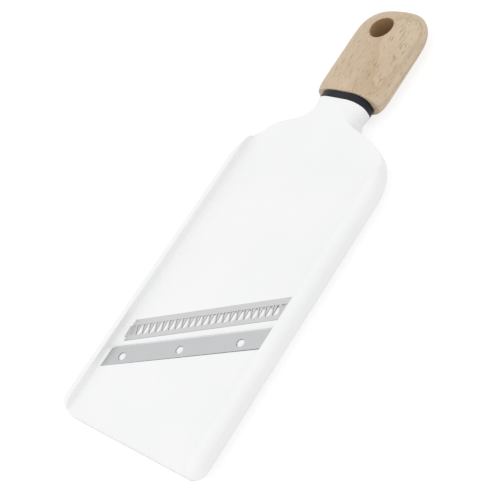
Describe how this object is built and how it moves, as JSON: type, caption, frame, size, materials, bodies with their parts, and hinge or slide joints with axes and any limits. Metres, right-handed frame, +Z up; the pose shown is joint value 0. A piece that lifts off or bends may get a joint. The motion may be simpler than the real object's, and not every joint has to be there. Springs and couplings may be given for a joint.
{
  "type": "mandoline slicer",
  "caption": "Hand-held julienne slicer: moulded board with side rails, an oblique blade, a louvred strip, a collar and a wooden handle with a hang hole.",
  "frame": {"origin": "centre of the whole tool's box in plan, at the height of its lowest point, the underside of the handle", "axes": "+Y from the tip of the board to the end of the handle, +X to the right of the hand that holds it, +Z up out of the cutting face"},
  "size_m": [0.095, 0.249, 0.0188],
  "materials": {
    "white_plastic": "fine satin moulded white plastic",
    "blade_steel": "fine ground stainless steel",
    "strip_steel": "pressed stainless steel sheet",
    "black_plastic": "satin black plastic",
    "beech": "oiled light beech, grain along the handle"
  },
  "bodies": {
    "root": {"board": "white_plastic", "slicing_blade": "blade_steel", "julienne_strip": "strip_steel", "collar": "black_plastic", "handle": "beech"}
  },
  "joints": []
}
